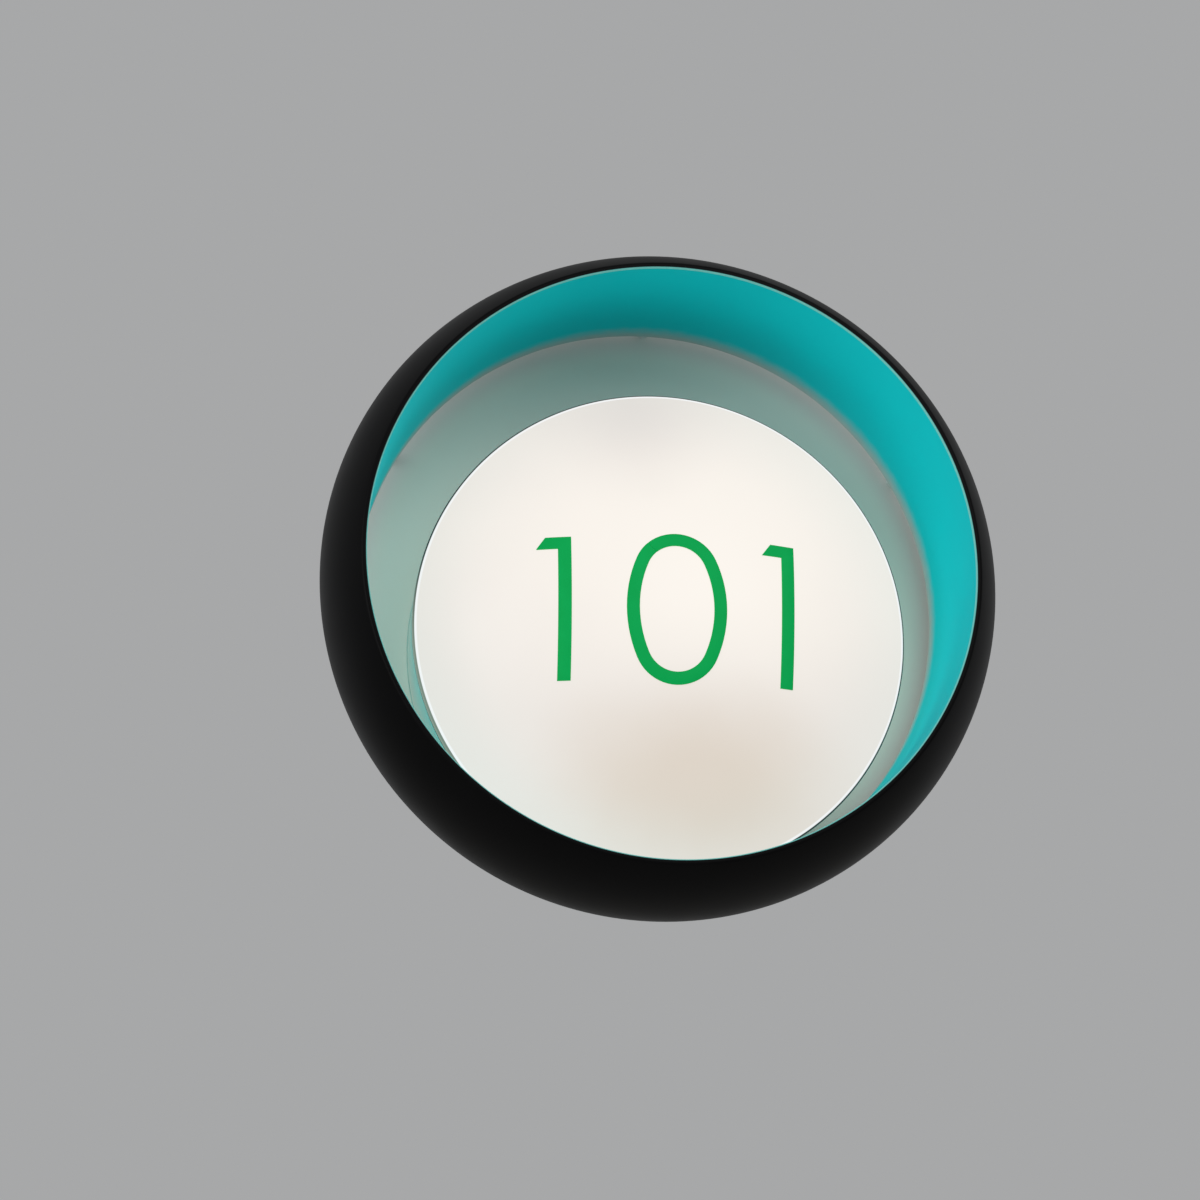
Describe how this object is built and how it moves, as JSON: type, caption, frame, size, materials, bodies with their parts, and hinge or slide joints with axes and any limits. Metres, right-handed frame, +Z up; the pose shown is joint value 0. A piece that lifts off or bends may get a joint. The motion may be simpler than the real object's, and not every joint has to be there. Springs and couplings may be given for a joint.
{
  "type": "illuminated house number sign",
  "caption": "Round wall sign: a hollow black ring with a teal lining carries a glowing opal dome with green house numerals, and stands off the wall so that light leaks out behind it.",
  "frame": {"origin": "on the wall plane, on the ring's axis, midway between the two fixing slots", "axes": "the sign faces -Y with the wall at its back, +Z is up and +X is to the right as seen from the front"},
  "size_m": [0.34, 0.11, 0.34],
  "materials": {
    "black_paint": "satin black powder coat",
    "teal_paint": "satin teal powder coat",
    "grey_paint": "matt pale grey powder coat",
    "white_paint": "satin white powder coat",
    "white_reflector": "matt white reflector paint",
    "galvanised": "dull galvanised sheet steel",
    "zinc_plated": "bright zinc plating",
    "nickel_plated": "nickel plating",
    "spring_steel": "rolled stainless spring strip",
    "aluminium_tube": "plain turned aluminium",
    "tray_aluminium": "mill-finish aluminium sheet",
    "brass_plain": "plain machined brass",
    "buffer_rubber": "matt moulded rubber",
    "seal_rubber": "matt foam rubber",
    "terminal_plastic": "moulded cream polyamide",
    "driver_plastic": "moulded white polycarbonate",
    "board_white": "white solder mask",
    "lead_blue": "PVC insulation",
    "lead_earth": "PVC insulation",
    "lead_red": "PVC insulation",
    "green_film": "matt green vinyl",
    "led_phosphor": "silicone phosphor, lit",
    "opal_acrylic": "satin opal acrylic, lit from behind"
  },
  "bodies": {
    "sign": {"outer_shell": "black_paint", "liner": "teal_paint", "ring_brackets": "galvanised", "ring_studs": "zinc_plated", "ring_spacers": "aluminium_tube", "ring_nuts": "zinc_plated", "back_plate": "grey_paint", "wall_bracket": "galvanised", "bracket_studs": "zinc_plated", "stud_washers": "seal_rubber", "cap_nuts": "nickel_plated", "wall_buffers": "buffer_rubber", "light_housing": "white_paint", "housing_screws": "zinc_plated", "cable_grommet": "buffer_rubber", "terminal_block": "terminal_plastic", "terminal_screws": "brass_plain", "terminal_fixings": "zinc_plated", "driver_case": "driver_plastic", "driver_screws": "zinc_plated", "earth_stud": "brass_plain", "earth_nuts": "brass_plain", "mains_leads": "lead_blue", "earth_lead": "lead_earth", "led_leads": "lead_red", "tray_pillars": "zinc_plated", "led_tray": "tray_aluminium", "tray_screws": "zinc_plated", "led_board": "board_white", "led_chips": "led_phosphor", "board_screws": "zinc_plated", "board_connector": "terminal_plastic", "reflector": "white_reflector", "lens_springs": "spring_steel", "spring_rivets": "zinc_plated", "lens_gasket": "seal_rubber"},
    "dome": {"lens": "opal_acrylic", "digit_hundreds": "green_film", "digit_tens": "green_film", "digit_units": "green_film"}
  },
  "joints": [
    {"name": "lens_pull", "type": "slide", "parent": "sign", "child": "dome", "axis": [0, -1, 0], "range_m": [0, 0.06]}
  ]
}
